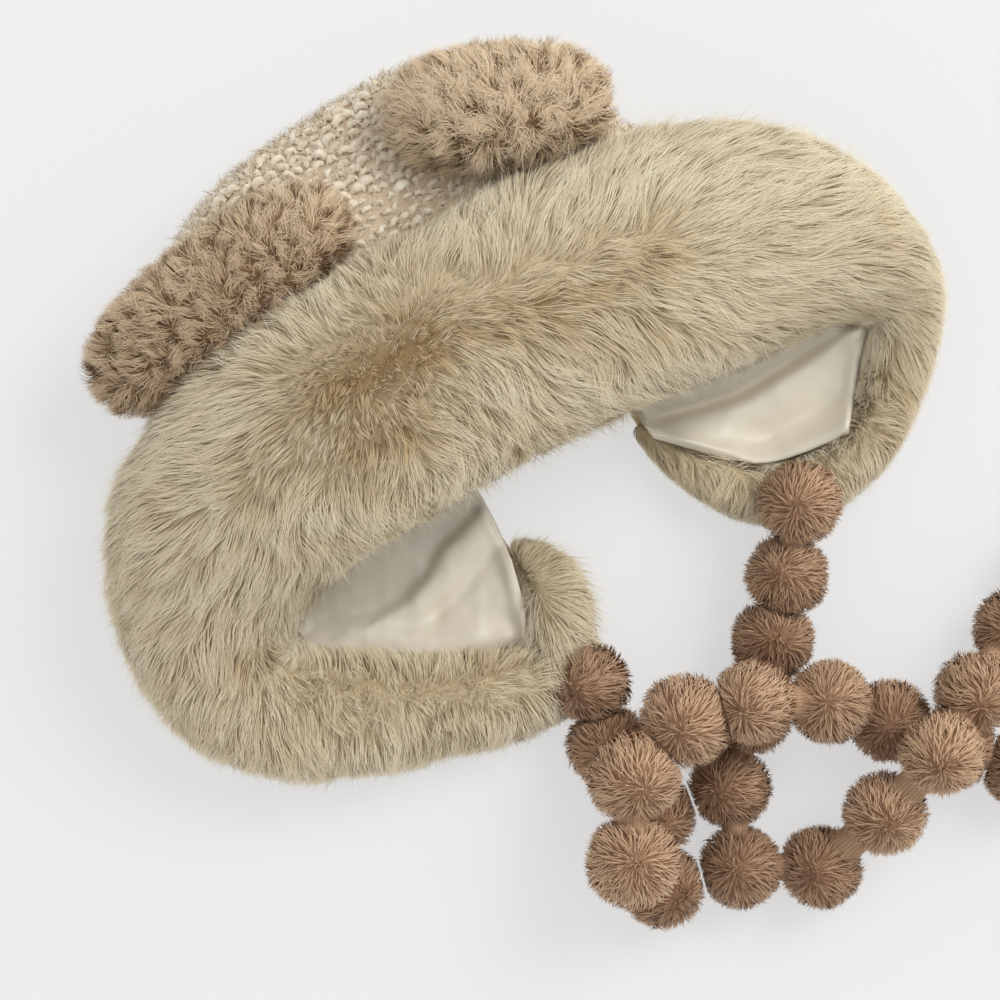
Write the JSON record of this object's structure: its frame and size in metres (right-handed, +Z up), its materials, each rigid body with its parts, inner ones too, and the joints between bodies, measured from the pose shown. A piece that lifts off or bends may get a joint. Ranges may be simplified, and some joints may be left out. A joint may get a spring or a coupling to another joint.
{
  "type": "knit earflap hat with a fur roll and pompom ties",
  "caption": "Soft knit cap with fluffy ears, a deep fur roll over the forehead, satin-lined earflaps edged in fur, and long ties strung with pompoms.",
  "frame": {"origin": "on the surface that the hat lies on, under the middle of its bounding box", "axes": "+X along the forehead roll to the side with the right flap as pictured, +Y from the chin towards the top of the crown, +Z up from the surface"},
  "size_m": [0.3684, 0.3958, 0.0957],
  "materials": {
    "knit": "nubby bouclé hand knit, cream bumps over greyed taupe gaps",
    "ear_plush": "short curly taupe plush",
    "long_fur": "dense long-pile faux fur, pale olive beige with golden-brown roots",
    "satin_lining": "smooth cream satin with soft folds",
    "pompom_yarn": "dense cut-yarn pompom, dusty brown",
    "tie_cord": "ribbed brown cord"
  },
  "bodies": {
    "root": {"crown": "knit", "ear_left": "ear_plush", "ear_right": "ear_plush", "fur_band": "long_fur", "flap_left": "long_fur", "flap_right": "long_fur", "lining_left": "satin_lining", "lining_right": "satin_lining", "tie_left": "tie_cord", "tie_right": "tie_cord", "pompom_left_1": "pompom_yarn", "pompom_left_2": "pompom_yarn", "pompom_left_3": "pompom_yarn", "pompom_left_4": "pompom_yarn", "pompom_left_5": "pompom_yarn", "pompom_left_6": "pompom_yarn", "pompom_left_7": "pompom_yarn", "pompom_left_8": "pompom_yarn", "pompom_left_9": "pompom_yarn", "pompom_left_10": "pompom_yarn", "pompom_left_11": "pompom_yarn", "pompom_left_12": "pompom_yarn", "pompom_right_1": "pompom_yarn", "pompom_right_2": "pompom_yarn", "pompom_right_3": "pompom_yarn", "pompom_right_4": "pompom_yarn", "pompom_right_5": "pompom_yarn", "pompom_right_6": "pompom_yarn", "pompom_right_7": "pompom_yarn", "pompom_right_8": "pompom_yarn", "pompom_right_9": "pompom_yarn", "pompom_right_10": "pompom_yarn", "pompom_right_11": "pompom_yarn", "pompom_right_12": "pompom_yarn"}
  },
  "joints": []
}
